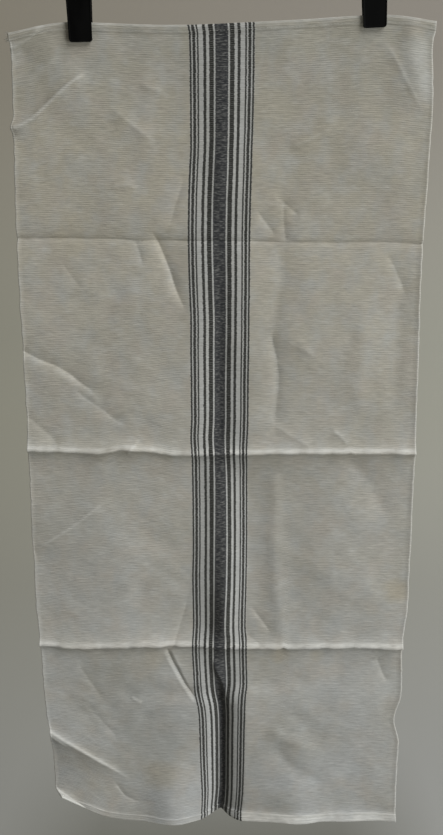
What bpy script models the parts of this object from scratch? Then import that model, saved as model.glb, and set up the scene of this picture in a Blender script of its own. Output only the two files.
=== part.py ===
# A coarse woven towel that hangs by its top hem from two black hanger clips.
# Units are metres. +X is to the right across the towel's face, +Z is up, and the face looks along -Y.
# The origin is on the towel's middle line, level with the top ends of the two clips on average.
import math

import bmesh
import bpy
import numpy as np
from mathutils import Matrix, Vector

# Cloth
CLOTH = 0.0012          # thickness of the woven cloth
HEM_THICK = 0.0026      # the turned hem, three layers pressed flat
HEM = 0.0090            # width of the hem at each end
LENGTH = 1.114          # from the top hem's fold to the bottom hem's fold
TOP = -0.0489           # height of the top hem's fold
BAND = 0.0387           # half width of the striped band, along which the towel was folded
HALF = 0.2530           # half width of the towel, laid flat
BACK = 0.0006           # how far the cloth's back face lies behind the plane of the clips

# Clips
CLIP_LENGTH = 0.060
CLIP_TIP_WIDTH = 0.0270
CLIP_TOP_WIDTH = 0.0290
CLIP_CORNER = 0.0035
JAW = 0.0026            # thickness of a jaw
JAW_LEAN = 0.0030       # how far its top stands out beyond its tip
LIP = 0.0030            # height of the lip that grips the cloth
LIP_SLOPE = 0.0014      # height of the slope above the lip
HEM_ROOM = 0.0030       # from the plane of the clips to a jaw's inner face, above its lip
PIN_HEIGHT = 0.0460     # from the tip to the middle of the pin
PIN_LENGTH = 0.0220
RIM = 0.0018            # width of the raised rim round a jaw's outer face
RIM_HEIGHT = 0.0004
EDGE = 0.0005           # small rounding of the moulded edges
SHARP_ANGLE = math.radians(50)
GAP = 0.0003            # between pieces that touch

CLIPS = (
    dict(name="clip_left", tip_x=-0.1643, tip_down=0.0190, lean=1.0),
    dict(name="clip_right", tip_x=0.1786, tip_down=0.0032, lean=3.0),
)

# The side edges, at heights down from the top hem
EDGES = (
    dict(down=0.000, left=-0.2485, right=0.2490),
    dict(down=0.030, left=-0.2475, right=0.2480),
    dict(down=0.100, left=-0.2490, right=0.2520),
    dict(down=0.252, left=-0.2540, right=0.2500),
    dict(down=0.400, left=-0.2540, right=0.2525),
    dict(down=0.533, left=-0.2545, right=0.2550),
    dict(down=0.760, left=-0.2565, right=0.2575),
    dict(down=0.825, left=-0.2535, right=0.2530),
    dict(down=0.900, left=-0.2520, right=0.2563),
    dict(down=0.945, left=-0.2510, right=0.2485),
    dict(down=0.985, left=-0.2490, right=0.2545),
    dict(down=1.114, left=-0.2515, right=0.2545),
)

# Lines that run across the towel: how far each lies above its own height, at six places
PLACES = dict(left_end=-0.250, left_clip=-0.178, left_mid=-0.060,
              right_mid=0.075, right_clip=0.192, right_end=0.250)
LEVELS = (
    dict(name="top", down=0.0000, left_end=-0.009, left_clip=0.003, left_mid=0.000, right_mid=0.005,
         right_clip=0.011, right_end=0.004),
    dict(name="first", down=0.2525, left_end=0.0035, left_clip=0.003, left_mid=0.000, right_mid=-0.001,
         right_clip=-0.002, right_end=-0.003),
    dict(name="second", down=0.5330, left_end=0.005, left_clip=0.000, left_mid=-0.001, right_mid=0.000,
         right_clip=0.000, right_end=-0.001),
    dict(name="third", down=0.8240, left_end=0.005, left_clip=0.001, left_mid=0.002, right_mid=0.000,
         right_clip=0.000, right_end=0.000),
    dict(name="bottom", down=LENGTH, left_end=0.0145, left_clip=0.0025, left_mid=-0.0005, right_mid=0.000,
         right_clip=0.000, right_end=0.000),
)

# Pressed creases across the towel: height is towards the viewer, the rest are widths
CREASES = (
    dict(level="first", height=-0.0042, above=0.020, below=0.030),
    dict(level="second", height=0.0046, above=0.022, below=0.034),
    dict(level="third", height=0.0042, above=0.022, below=0.030),
)

SHARP_SHARE = 0.35      # the share of a crease's height in its sharp middle
SHARP_WIDTH = 0.005

# The lengthwise fold along the band. middle is where the band's centre line hangs and depth how far
# behind the plane it lies. Each other column is the slope of one strip, in degrees: above 0 it goes back
# towards the right.
STRIPS = dict(far_left=(-0.0387, -0.022), left=(-0.022, -0.008), floor=(-0.008, 0.0),
              wall=(0.0, 0.008), right=(0.008, 0.0152), far_right=(0.0152, 0.0387))
FOLD = (
    dict(down=0.000, middle=0.0003, depth=0.0000,
         far_left=0, left=0, floor=0, wall=0, right=0, far_right=0),
    dict(down=0.130, middle=0.0000, depth=-0.0006,
         far_left=0, left=-2, floor=-2, wall=0, right=2, far_right=1),
    dict(down=0.215, middle=-0.0026, depth=-0.0004,
         far_left=0, left=-1, floor=-1, wall=0, right=1, far_right=1),
    dict(down=0.252, middle=-0.0030, depth=0.0000,
         far_left=0, left=0, floor=0, wall=0, right=0, far_right=0),
    dict(down=0.352, middle=-0.0020, depth=0.0020,
         far_left=2, left=6, floor=8, wall=-8, right=-6, far_right=-2),
    dict(down=0.480, middle=-0.0014, depth=0.0032,
         far_left=3, left=8, floor=11, wall=-11, right=-9, far_right=-3),
    dict(down=0.533, middle=-0.0028, depth=0.0010,
         far_left=0, left=2, floor=4, wall=-3, right=0, far_right=0),
    dict(down=0.575, middle=-0.0018, depth=-0.0022,
         far_left=-4, left=-9, floor=-8, wall=-7, right=18, far_right=13),
    dict(down=0.700, middle=-0.0024, depth=-0.0028,
         far_left=-5, left=-10, floor=-8, wall=-6, right=20, far_right=14),
    dict(down=0.795, middle=-0.0030, depth=-0.0016,
         far_left=-4, left=-8, floor=-6, wall=-5, right=16, far_right=11),
    dict(down=0.825, middle=-0.0030, depth=0.0000,
         far_left=-1, left=-2, floor=-2, wall=-3, right=1, far_right=0),
    dict(down=0.859, middle=-0.0020, depth=0.0030,
         far_left=6, left=10, floor=10, wall=-16, right=-16, far_right=-6),
    dict(down=0.891, middle=0.0006, depth=0.0085,
         far_left=5, left=22, floor=24, wall=-42, right=-40, far_right=-12),
    dict(down=0.925, middle=0.0036, depth=0.0125,
         far_left=5, left=32, floor=24, wall=-58, right=-54, far_right=-18),
    dict(down=0.990, middle=0.0042, depth=0.0155,
         far_left=6, left=36, floor=24, wall=-61, right=-58, far_right=-19),
    dict(down=1.060, middle=0.0040, depth=0.0205,
         far_left=22, left=40, floor=22, wall=-60, right=-54, far_right=-24),
    dict(down=1.114, middle=0.0005, depth=0.0275,
         far_left=32, left=46, floor=14, wall=-46, right=-50, far_right=-31),
)

FOLD_REACH = 0.55       # the share of the cloth beside the band over which the fold dies away
BAND_STEPS = 156        # steps in which the band's section is added up

# Soft ridges (height above 0) and troughs, each along a line from (x1, down1) to (x2, down2) that bows
# sideways. over and under are the widths of its two flanks, and start and end are the shares of its length
# in which it fades.
RIDGES = (
    dict(name="below_left_clip", x1=-0.256, down1=0.118, x2=-0.155, down2=0.051,
         bow=0.005, height=0.0030, over=0.022, under=0.010, start=0.05, end=0.35),
    dict(name="outside_right_clip", x1=0.200, down1=0.024, x2=0.248, down2=0.160,
         bow=0.004, height=0.0045, over=0.026, under=0.022, start=0.15, end=0.40),
    dict(name="left_of_band_upper", x1=-0.132, down1=0.106, x2=-0.074, down2=0.142,
         bow=0.002, height=0.0022, over=0.012, under=0.012, start=0.30, end=0.35),
    dict(name="under_first_crease", x1=-0.085, down1=0.236, x2=-0.048, down2=0.338,
         bow=-0.003, height=-0.0042, over=0.008, under=0.010, start=0.20, end=0.35),
    dict(name="left_middle", x1=-0.262, down1=0.386, x2=-0.158, down2=0.458,
         bow=0.003, height=-0.0042, over=0.009, under=0.011, start=0.05, end=0.35),
    dict(name="above_second_crease", x1=-0.262, down1=0.474, x2=-0.205, down2=0.522,
         bow=0.002, height=-0.0028, over=0.012, under=0.009, start=0.10, end=0.35),
    dict(name="right_wave_upper", x1=0.080, down1=0.190, x2=0.067, down2=0.522,
         bow=0.002, height=-0.0030, over=0.012, under=0.016, start=0.25, end=0.10),
    dict(name="right_wave_lower", x1=0.066, down1=0.560, x2=0.080, down2=0.830,
         bow=-0.003, height=0.0034, over=0.014, under=0.013, start=0.15, end=0.12),
    dict(name="right_swell", x1=0.178, down1=0.280, x2=0.176, down2=0.500,
         bow=0.002, height=0.0030, over=0.024, under=0.024, start=0.30, end=0.30),
    dict(name="right_hollow", x1=0.226, down1=0.285, x2=0.224, down2=0.500,
         bow=0.002, height=-0.0026, over=0.018, under=0.020, start=0.30, end=0.30),
    dict(name="under_second_crease", x1=0.166, down1=0.540, x2=0.238, down2=0.640,
         bow=0.003, height=0.0042, over=0.012, under=0.026, start=0.12, end=0.35),
    dict(name="under_third_crease", x1=-0.084, down1=0.822, x2=-0.034, down2=0.918,
         bow=-0.003, height=-0.0045, over=0.008, under=0.010, start=0.15, end=0.30),
    dict(name="right_under_third_crease", x1=0.215, down1=0.830, x2=0.236, down2=0.890,
         bow=0.002, height=-0.0024, over=0.008, under=0.010, start=0.20, end=0.40),
    dict(name="bottom_left", x1=-0.258, down1=0.954, x2=-0.128, down2=1.047,
         bow=0.001, height=0.0044, over=0.008, under=0.012, start=0.02, end=0.40),
    dict(name="right_lower", x1=0.078, down1=0.952, x2=0.140, down2=0.990,
         bow=0.001, height=-0.0022, over=0.010, under=0.012, start=0.25, end=0.35),
)

CREST_RADIUS = 0.0015   # rounds the line of each ridge
GRIP_MARGIN = 0.003     # the cloth is flat this far beyond a clip
GRIP_REACH = 0.035      # and free beyond this

# Broad swellings towards the viewer, mostly where the free lower edge curls beside the fold
SWELLS = (
    dict(name="left_lobe", x=-0.078, down=1.140, wide=0.032, tall=0.110, height=0.0125),
    dict(name="right_lobe", x=0.108, down=1.140, wide=0.044, tall=0.130, height=0.0090),
    dict(name="right_corner", x=0.262, down=1.120, wide=0.026, tall=0.060, height=0.0040),
    dict(name="left_panel", x=-0.150, down=0.680, wide=0.070, tall=0.070, height=0.0040),
    dict(name="right_panel", x=0.170, down=0.730, wide=0.060, tall=0.060, height=0.0035),
)

# Lower left: the cloth under the long ridge swings back, and the corner's tip curls forward
SWING = dict(x1=-0.2517, down1=0.9593, x2=-0.1342, down2=1.0430, angle=14.0, full=0.50, gone=1.40)
CURL = dict(x1=-0.2515, down1=1.0745, x2=-0.1990, down2=1.1100, radius=0.0035, angle=94.0)

# Mesh of the towel
CREASE_ROWS = (-0.026, -0.012, -0.004, 0.0, 0.004, 0.012, 0.026)
ROW_STEP = 0.0245
LOW_ROW_STEP = 0.0165   # in the lowest part, where the fold is deep
BAND_COLUMNS = (-0.0387, -0.0305, -0.022, -0.015, -0.008, -0.0035, 0.0, 0.0035, 0.008, 0.0116, 0.0152,
                0.027, 0.0387)
SIDE_COLUMNS = 12
CORNER_COLUMNS = (0.0, 0.006, 0.012, 0.018, 0.025, 0.032, 0.040, 0.048, 0.057)
CORNER_ROWS = (1.081, 1.0865, 1.091, 1.0955, 1.100)
HEM_STEP = 0.0008       # the short slope from the hem down to the single cloth


def clear_scene():
    for thing in list(bpy.data.objects):
        bpy.data.objects.remove(thing, do_unlink=True)


def ease(v):
    v = np.clip(v, 0.0, 1.0)
    return v * v * (3.0 - 2.0 * v)


def smooth_run(at, marks, values):
    """A curve through the values at the marks, with no overshoot between them."""
    marks = np.asarray(marks, float)
    values = np.asarray(values, float)
    at = np.clip(at, marks[0], marks[-1])
    steps = np.diff(marks)
    rises = np.diff(values) / steps
    slopes = np.zeros(len(marks))
    same_way = rises[1:] * rises[:-1] > 0.0
    slopes[1:-1][same_way] = 2.0 * (rises[1:] * rises[:-1])[same_way] / (rises[1:] + rises[:-1])[same_way]
    slopes[0] = rises[0]
    slopes[-1] = rises[-1]
    i = np.clip(np.searchsorted(marks, at, side="right") - 1, 0, len(marks) - 2)
    u = (at - marks[i]) / steps[i]
    return (values[i] * (1.0 + 2.0 * u) * (1.0 - u) ** 2 + values[i + 1] * u * u * (3.0 - 2.0 * u)
            + steps[i] * u * (1.0 - u) * (slopes[i] * (1.0 - u) - slopes[i + 1] * u))


def column(table, name):
    return [row[name] for row in table]


def add_up(rates, at):
    """The running sum of the rates over the distances in at."""
    return np.concatenate([[0.0], np.cumsum(0.5 * np.diff(at) * (rates[1:] + rates[:-1]))])


def fold_section(down):
    """How the band runs across at one height: distances flat, then x and y hanging."""
    flat = np.linspace(-BAND, BAND, BAND_STEPS)
    heights = column(FOLD, "down")
    middles = [0.5 * (a + b) for a, b in STRIPS.values()]
    slopes = [float(smooth_run(down, heights, column(FOLD, name))) for name in STRIPS]
    slope = np.radians(smooth_run(flat, middles, slopes))
    across = add_up(np.cos(slope), flat)
    back = add_up(np.sin(slope), flat)
    across += float(smooth_run(down, heights, column(FOLD, "middle"))) - np.interp(0.0, flat, across)
    back += float(smooth_run(down, heights, column(FOLD, "depth"))) - np.interp(0.0, flat, back)
    return flat, across, back


def lay_out(flats, downs):
    """Where the towel's rows and columns hang before its creases: x, y and the height of each point."""
    shape = (len(downs), len(flats))
    x, y, z = np.zeros(shape), np.zeros(shape), np.zeros(shape)
    for r, down in enumerate(downs):
        flat, across, back = fold_section(down)
        left = float(smooth_run(down, column(EDGES, "down"), column(EDGES, "left")))
        right = float(smooth_run(down, column(EDGES, "down"), column(EDGES, "right")))
        side = np.clip((np.abs(flats) - BAND) / (HALF - BAND), 0.0, 1.0)
        edge = np.where(flats < 0, left, right)
        start = np.interp(flats, flat, across)
        x[r] = start + side * (edge - start)
        y[r] = np.interp(flats, flat, back) * (1.0 - ease(side / FOLD_REACH))
    marks = list(PLACES.values())
    lifts = [smooth_run(x, marks, [level[place] for place in PLACES]) for level in LEVELS]
    heights = column(LEVELS, "down")
    for r, down in enumerate(downs):
        i = min(int(np.searchsorted(heights, down, side="right")) - 1, len(LEVELS) - 2)
        u = (down - heights[i]) / (heights[i + 1] - heights[i])
        z[r] = -down + (1.0 - u) * lifts[i][r] + u * lifts[i + 1][r]
    return x, y, z, lifts


def crease_height(away, crease):
    width = np.where(away < 0, crease["above"], crease["below"])
    sharp = np.exp(-np.abs(away) / SHARP_WIDTH)
    soft = np.exp(-np.abs(away) / width)
    return crease["height"] * (SHARP_SHARE * sharp + (1.0 - SHARP_SHARE) * soft)


def ridge_height(x, down, ridge):
    along_x, along_down = ridge["x2"] - ridge["x1"], ridge["down2"] - ridge["down1"]
    length = math.hypot(along_x, along_down)
    along_x, along_down = along_x / length, along_down / length
    away_x, away_down = x - ridge["x1"], down - ridge["down1"]
    u = (away_x * along_x + away_down * along_down) / length
    v = away_x * along_down - away_down * along_x
    v -= 4.0 * ridge["bow"] * np.clip(u, 0.0, 1.0) * np.clip(1.0 - u, 0.0, 1.0)
    width = np.where(v > 0, ridge["over"], ridge["under"])
    crest = np.exp(-(np.hypot(v, CREST_RADIUS) - CREST_RADIUS) / width)
    return ridge["height"] * crest * ease(u / ridge["start"]) * ease((1.0 - u) / ridge["end"])


def clip_grip(x, z):
    """0 where a clip holds the cloth flat, rising to 1 away from both clips."""
    free = np.ones_like(x)
    for clip in CLIPS:
        beside = np.maximum(np.abs(x - clip["tip_x"]) - 0.5 * CLIP_TOP_WIDTH - GRIP_MARGIN, 0.0)
        below = np.maximum(-z - clip["tip_down"] - GRIP_MARGIN, 0.0)
        free = np.minimum(free, ease(np.hypot(beside, below) / GRIP_REACH))
    return free


def swing_back(x, y, z):
    """Turns the lower left part back about its ridge, less and less towards the middle."""
    along = np.array([SWING["x2"] - SWING["x1"], SWING["down2"] - SWING["down1"]])
    length = float(np.hypot(*along))
    along /= length
    away_x, away_down = x - SWING["x1"], -z - SWING["down1"]
    u = (away_x * along[0] + away_down * along[1]) / length
    past = np.maximum(away_down * along[0] - away_x * along[1], 0.0)
    turn = math.radians(SWING["angle"]) * (1.0 - ease((u - SWING["full"]) / (SWING["gone"] - SWING["full"])))
    shorter = past * (1.0 - np.cos(turn))
    return x + shorter * along[1], y + past * np.sin(turn), z + shorter * along[0]


def curl_forward(x, y, z, x_flat, down_flat):
    """Rolls the corner's tip forward about a slanting line, given where the cloth lay before it swung."""
    along = np.array([CURL["x2"] - CURL["x1"], CURL["down2"] - CURL["down1"]])
    along /= np.hypot(*along)
    past = (down_flat - CURL["down1"]) * along[0] - (x_flat - CURL["x1"]) * along[1]
    past = np.maximum(past, 0.0)
    turn = np.minimum(past / CURL["radius"], math.radians(CURL["angle"]))
    straight = past - turn * CURL["radius"]
    reach = CURL["radius"] * np.sin(turn) + straight * np.cos(turn)
    forward = CURL["radius"] * (1.0 - np.cos(turn)) + straight * np.sin(turn)
    shorter = past - reach
    return x + shorter * along[1], y - forward, z + shorter * along[0]


def drape(flats, downs):
    """The towel's back face: x, y, z for each row (down) and column (flat distance from the middle)."""
    x, y, z, lifts = lay_out(flats, downs)
    names = column(LEVELS, "name")
    forward = np.zeros_like(x)
    for crease in CREASES:
        i = names.index(crease["level"])
        forward += crease_height(-z - (LEVELS[i]["down"] - lifts[i]), crease)
    for ridge in RIDGES:
        forward += ridge_height(x, -z, ridge)
    for swell in SWELLS:
        forward += swell["height"] * np.exp(-((x - swell["x"]) / swell["wide"]) ** 2
                                            - ((-z - swell["down"]) / swell["tall"]) ** 2)
    y = (y - forward) * clip_grip(x, z)
    x_flat, down_flat = x.copy(), -z
    x, y, z = swing_back(x, y, z)
    x, y, z = curl_forward(x, y, z, x_flat, down_flat)
    return x, y + BACK, z + TOP


def towel_rows():
    marks = [0.0, 0.5 * HEM, HEM - HEM_STEP, HEM]
    stops = [HEM]
    for crease in CREASES:
        down = LEVELS[column(LEVELS, "name").index(crease["level"])]["down"]
        marks += [down + step for step in CREASE_ROWS]
        stops += [down + CREASE_ROWS[0], down + CREASE_ROWS[-1]]
    marks += [LENGTH - HEM, LENGTH - HEM + HEM_STEP, LENGTH - 0.5 * HEM, LENGTH]
    marks += CORNER_ROWS
    stops += [CORNER_ROWS[0]]
    for start, end in zip(stops[::2], stops[1::2]):
        step = LOW_ROW_STEP if end > 1.0 else ROW_STEP
        count = math.ceil((end - start) / step)
        marks += [start + (end - start) * k / count for k in range(1, count)]
    return np.array(sorted(marks))


def towel_columns():
    left = [-HALF + step for step in CORNER_COLUMNS]
    left += list(np.linspace(left[-1], -BAND, SIDE_COLUMNS - 2)[1:-1])
    right = list(np.linspace(BAND, HALF, SIDE_COLUMNS + 1)[1:])
    return np.array(left + list(BAND_COLUMNS) + right)


def make_material(name, colour, roughness):
    material = bpy.data.materials.new(name)
    material.use_nodes = True
    shader = material.node_tree.nodes["Principled BSDF"]
    shader.inputs["Base Color"].default_value = (*colour, 1.0)
    shader.inputs["Roughness"].default_value = roughness
    shader.inputs["Metallic"].default_value = 0.0
    return material


def add_object(name, mesh, material, collection):
    thing = bpy.data.objects.new(name, mesh)
    mesh.materials.append(material)
    collection.objects.link(thing)
    return thing


def make_towel(collection):
    rows, columns = towel_rows(), towel_columns()
    x, y, z = drape(columns, rows)
    bm = bmesh.new()
    across, down = len(columns) - 1, len(rows) - 1
    bmesh.ops.create_grid(bm, x_segments=across, y_segments=down, size=0.5)
    hem_rows = set()
    for vert in bm.verts:
        c = round((vert.co.x + 0.5) * across)
        r = round((0.5 - vert.co.y) * down)
        if rows[r] < HEM - 0.5 * HEM_STEP or rows[r] > LENGTH - HEM + 0.5 * HEM_STEP:
            hem_rows.add(vert.index)
        vert.co = (x[r, c], y[r, c], z[r, c])
    bmesh.ops.recalc_face_normals(bm, faces=bm.faces)
    if sum(face.normal.y for face in bm.faces) > 0:
        bmesh.ops.reverse_faces(bm, faces=bm.faces)
    mesh = bpy.data.meshes.new("towel")
    bm.to_mesh(mesh)
    bm.free()
    towel = add_object("towel", mesh, make_material("towel", (0.62, 0.60, 0.53), 0.9), collection)
    group = towel.vertex_groups.new(name="hem")
    group.add(sorted(hem_rows), 1.0, "REPLACE")
    solid = towel.modifiers.new("thickness", "SOLIDIFY")
    solid.thickness = HEM_THICK
    solid.offset = 1.0
    solid.vertex_group = "hem"
    solid.thickness_vertex_group = CLOTH / HEM_THICK
    return towel


def jaw_inside(height):
    """How far a jaw's inner face, above its lip, is from the plane of the clips."""
    return HEM_ROOM + JAW_LEAN * height / CLIP_LENGTH


def jaw_profile():
    """The front jaw from its side: (y, height above the tip), up the inner side and down the outer."""
    lip = CLOTH / 2 + GAP
    slope_top = LIP + LIP_SLOPE
    return (
        (-lip, 0.0),
        (-lip, LIP),
        (-jaw_inside(slope_top), slope_top),
        (-jaw_inside(CLIP_LENGTH), CLIP_LENGTH),
        (-jaw_inside(CLIP_LENGTH) - JAW, CLIP_LENGTH),
        (-jaw_inside(0.0) - JAW, 0.0),
    )


def round_off(bm, edges, radius, segments):
    bmesh.ops.bevel(bm, geom=edges, affect="EDGES", offset=radius, segments=segments, profile=0.5,
                    material=-1)


def jaw_mesh(name):
    """A jaw with its tip at height 0, on the -Y side of the cloth, wider at the top than at the tip."""
    bm = bmesh.new()
    bm.faces.new([bm.verts.new((-0.5 * CLIP_TIP_WIDTH, y, up)) for y, up in jaw_profile()])
    made = bmesh.ops.extrude_face_region(bm, geom=bm.faces[:])
    far = [item for item in made["geom"] if isinstance(item, bmesh.types.BMVert)]
    bmesh.ops.translate(bm, vec=(CLIP_TIP_WIDTH, 0, 0), verts=far)
    bmesh.ops.recalc_face_normals(bm, faces=bm.faces)
    widen = CLIP_TOP_WIDTH / CLIP_TIP_WIDTH - 1.0
    for vert in bm.verts:
        vert.co.x *= 1.0 + widen * vert.co.z / CLIP_LENGTH
    corners = [edge for edge in bm.edges if all(abs(v.co.z) < EDGE for v in edge.verts)
               and abs(edge.verts[0].co.x - edge.verts[1].co.x) < EDGE]
    round_off(bm, corners, CLIP_CORNER, 4)
    round_off(bm, [edge for edge in bm.edges if edge.calc_face_angle() > SHARP_ANGLE], EDGE, 2)
    outer = min(bm.faces, key=lambda face: face.normal.y * face.calc_area())
    bmesh.ops.inset_region(bm, faces=[outer], thickness=RIM, depth=-RIM_HEIGHT)
    mesh = bpy.data.meshes.new(name)
    bm.to_mesh(mesh)
    bm.free()
    return mesh


def pin_mesh(name):
    lean = math.atan2(JAW_LEAN, CLIP_LENGTH)
    radius = jaw_inside(PIN_HEIGHT) * math.cos(lean) - GAP
    bm = bmesh.new()
    bmesh.ops.create_cone(bm, cap_ends=True, segments=24, radius1=radius, radius2=radius,
                          depth=PIN_LENGTH, matrix=Matrix.Rotation(math.radians(90), 4, "Y"))
    mesh = bpy.data.meshes.new(name)
    bm.to_mesh(mesh)
    bm.free()
    return mesh


def make_clip(clip, material, collection):
    """Two jaws with their lips on the cloth and a pin between them, turned about the tip by its lean."""
    holder = bpy.data.objects.new(clip["name"] + "_place", None)
    collection.objects.link(holder)
    holder.location = Vector((clip["tip_x"], 0.0, TOP - clip["tip_down"]))
    holder.rotation_euler = (0.0, -math.radians(clip["lean"]), 0.0)
    pieces = {}
    for piece, make_mesh in (("front_jaw", jaw_mesh), ("back_jaw", jaw_mesh), ("pin", pin_mesh)):
        name = clip["name"] + "_" + piece
        pieces[piece] = add_object(name, make_mesh(name), material, collection)
        pieces[piece].parent = holder
    pieces["back_jaw"].rotation_euler = (0.0, 0.0, math.pi)
    pieces["pin"].location = (0.0, 0.0, PIN_HEIGHT)


def main():
    clear_scene()
    collection = bpy.data.collections.new("towel_with_clips")
    bpy.context.scene.collection.children.link(collection)
    make_towel(collection)
    for clip in CLIPS:
        make_clip(clip, make_material(clip["name"], (0.012, 0.012, 0.012), 0.45), collection)


main()
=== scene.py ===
import math

import bmesh
import bpy
import numpy as np
from mathutils import Matrix, Vector


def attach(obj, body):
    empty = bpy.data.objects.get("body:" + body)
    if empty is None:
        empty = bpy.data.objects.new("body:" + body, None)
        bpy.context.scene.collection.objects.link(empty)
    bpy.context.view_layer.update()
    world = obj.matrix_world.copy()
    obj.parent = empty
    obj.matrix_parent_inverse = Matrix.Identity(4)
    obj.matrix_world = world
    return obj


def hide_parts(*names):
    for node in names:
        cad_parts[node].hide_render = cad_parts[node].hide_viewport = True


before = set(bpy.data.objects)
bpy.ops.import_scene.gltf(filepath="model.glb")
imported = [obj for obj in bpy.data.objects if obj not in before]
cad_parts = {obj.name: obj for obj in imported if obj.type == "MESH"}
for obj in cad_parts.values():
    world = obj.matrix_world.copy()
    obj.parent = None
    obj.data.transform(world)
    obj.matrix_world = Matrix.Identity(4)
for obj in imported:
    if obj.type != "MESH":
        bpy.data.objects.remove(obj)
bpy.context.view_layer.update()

# A coarse hand-woven towel hung by its top hem from two black clips, seen from a little above its middle.
# Metres, +Z up, +X to the right across the towel's face, which looks along -Y.
print("frame loaded:", ", ".join(sorted(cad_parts)))


def addObject(name, data):
    made = bpy.data.objects.new(name, data)
    bpy.context.scene.collection.objects.link(made)
    return made


def finishPiece(bm, name):
    # the modelled shape as an object in the scene, smoothly shaded
    mesh = bpy.data.meshes.new(name)
    bm.to_mesh(mesh)
    bm.free()
    mesh.shade_smooth()
    return addObject(name, mesh)


# camera
cameraView = dict(
    distance=1.361,  # in front of the plane of the clips
    height=-0.0760,
    tiltDown=18.5,  # degrees
    lens=47.43,
    sensorWidth=36.0,
)

cameraData = bpy.data.cameras.new("camera")
cameraData.lens = cameraView["lens"]
cameraData.sensor_width = cameraView["sensorWidth"]
camera = addObject("camera", cameraData)
camera.location = (0.0, -cameraView["distance"], cameraView["height"])
camera.rotation_euler = (math.radians(90.0 - cameraView["tiltDown"]), 0.0, 0.0)
bpy.context.scene.camera = camera


# light: a broad window from the upper right, a closer one at the right, and a warm room all round
lighting = dict(
    windowFrom=(0.57, -0.42, 0.71),
    windowStrength=1.80,
    windowSpread=42.0,  # degrees
    windowColour=(0.98, 0.99, 1.0),
    sidePlace=(2.1, -1.7, -0.45),
    sideTarget=(0.0, 0.0, -0.6),
    sideSize=1.3,
    sideStrength=20.0,
    sideColour=(0.95, 0.98, 1.0),
    roomColour=(1.0, 0.97, 0.90),
    roomStrength=0.088,
)


def addLight(name, kind, strength, colour, comesFrom):
    data = bpy.data.lights.new(name, kind)
    data.energy = strength
    data.color = colour
    light = addObject(name, data)
    light.rotation_euler = comesFrom.to_track_quat("Z", "Y").to_euler()
    return light


window = addLight("window", "SUN", lighting["windowStrength"], lighting["windowColour"],
                  Vector(lighting["windowFrom"]))
window.data.angle = math.radians(lighting["windowSpread"])

side = addLight("sideWindow", "AREA", lighting["sideStrength"], lighting["sideColour"],
                Vector(lighting["sidePlace"]) - Vector(lighting["sideTarget"]))
side.data.size = lighting["sideSize"]
side.location = lighting["sidePlace"]
side.visible_camera = False

room = bpy.data.worlds.new("room")
room.use_nodes = True
roomLight = room.node_tree.nodes["Background"]
roomLight.inputs["Color"].default_value = (*lighting["roomColour"], 1.0)
roomLight.inputs["Strength"].default_value = lighting["roomStrength"]
bpy.context.scene.world = room
bpy.context.scene.view_settings.view_transform = "Standard"


# small helpers for node materials
class Nodes:
    def __init__(self, name, **finish):
        self.material = bpy.data.materials.new(name)
        self.material.use_nodes = True
        self.tree = self.material.node_tree
        self.shader = self.tree.nodes["Principled BSDF"]
        for socket, value in finish.items():
            self.shader.inputs[socket].default_value = value

    def add(self, kind, **settings):
        node = self.tree.nodes.new("ShaderNode" + kind)
        for key, value in settings.items():
            setattr(node, key, value)
        return node

    def feed(self, socket, value):
        # a socket takes a number, a colour or another node's output
        if isinstance(value, bpy.types.NodeSocket):
            self.tree.links.new(value, socket)
        else:
            socket.default_value = (*value, 1.0) if isinstance(value, tuple) else value

    def paint(self, colour):
        self.feed(self.shader.inputs["Base Color"], colour)

    def math(self, operation, a, b=0.0, c=0.0):
        node = self.add("Math", operation=operation)
        for socket, value in zip(node.inputs, (a, b, c)):
            self.feed(socket, value)
        return node.outputs[0]

    def times(self, a, b):
        return self.math("MULTIPLY", a, b)

    def timesPlus(self, a, b, c):
        return self.math("MULTIPLY_ADD", a, b, c)

    def blend(self, share, a, b, kind="MIX"):
        node = self.add("Mix", data_type="RGBA", blend_type=kind)
        for socket, value in ((node.inputs["Factor"], share), (node.inputs[6], a), (node.inputs[7], b)):
            self.feed(socket, value)
        return node.outputs[2]

    def spread(self, value, low, high, toLow=0.0, toHigh=1.0):
        node = self.add("MapRange", clamp=True)
        for socket, number in zip(node.inputs, (value, low, high, toLow, toHigh)):
            self.feed(socket, number)
        return node.outputs[0]

    def split(self, vector):
        node = self.add("SeparateXYZ")
        self.feed(node.inputs[0], vector)
        return node.outputs

    def noise(self, place, scale, stretch=(1.0, 1.0, 1.0), detail=2.0, shift=(0.0, 0.0, 0.0), roughness=0.5):
        mapping = self.add("Mapping")
        self.feed(mapping.inputs["Vector"], place)
        mapping.inputs["Scale"].default_value = stretch
        mapping.inputs["Location"].default_value = shift
        node = self.add("TexNoise")
        self.feed(node.inputs["Vector"], mapping.outputs[0])
        for name, value in (("Scale", scale), ("Detail", detail), ("Roughness", roughness)):
            node.inputs[name].default_value = value
        return node.outputs[0]

    def bump(self, height, strength, distance):
        node = self.add("Bump")
        node.inputs["Strength"].default_value = strength
        node.inputs["Distance"].default_value = distance
        self.feed(node.inputs["Height"], height)
        self.feed(self.shader.inputs["Normal"], node.outputs[0])


# floor: one plain pale sheet, level under the towel and rising far behind it, its colour carrying painted light and a
# painted shadow
floorSizes = dict(drop=2.30, halfWidth=16.0, front=-14.0, back=5.2, bend=2.2, top=7.0, steps=16)
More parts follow.
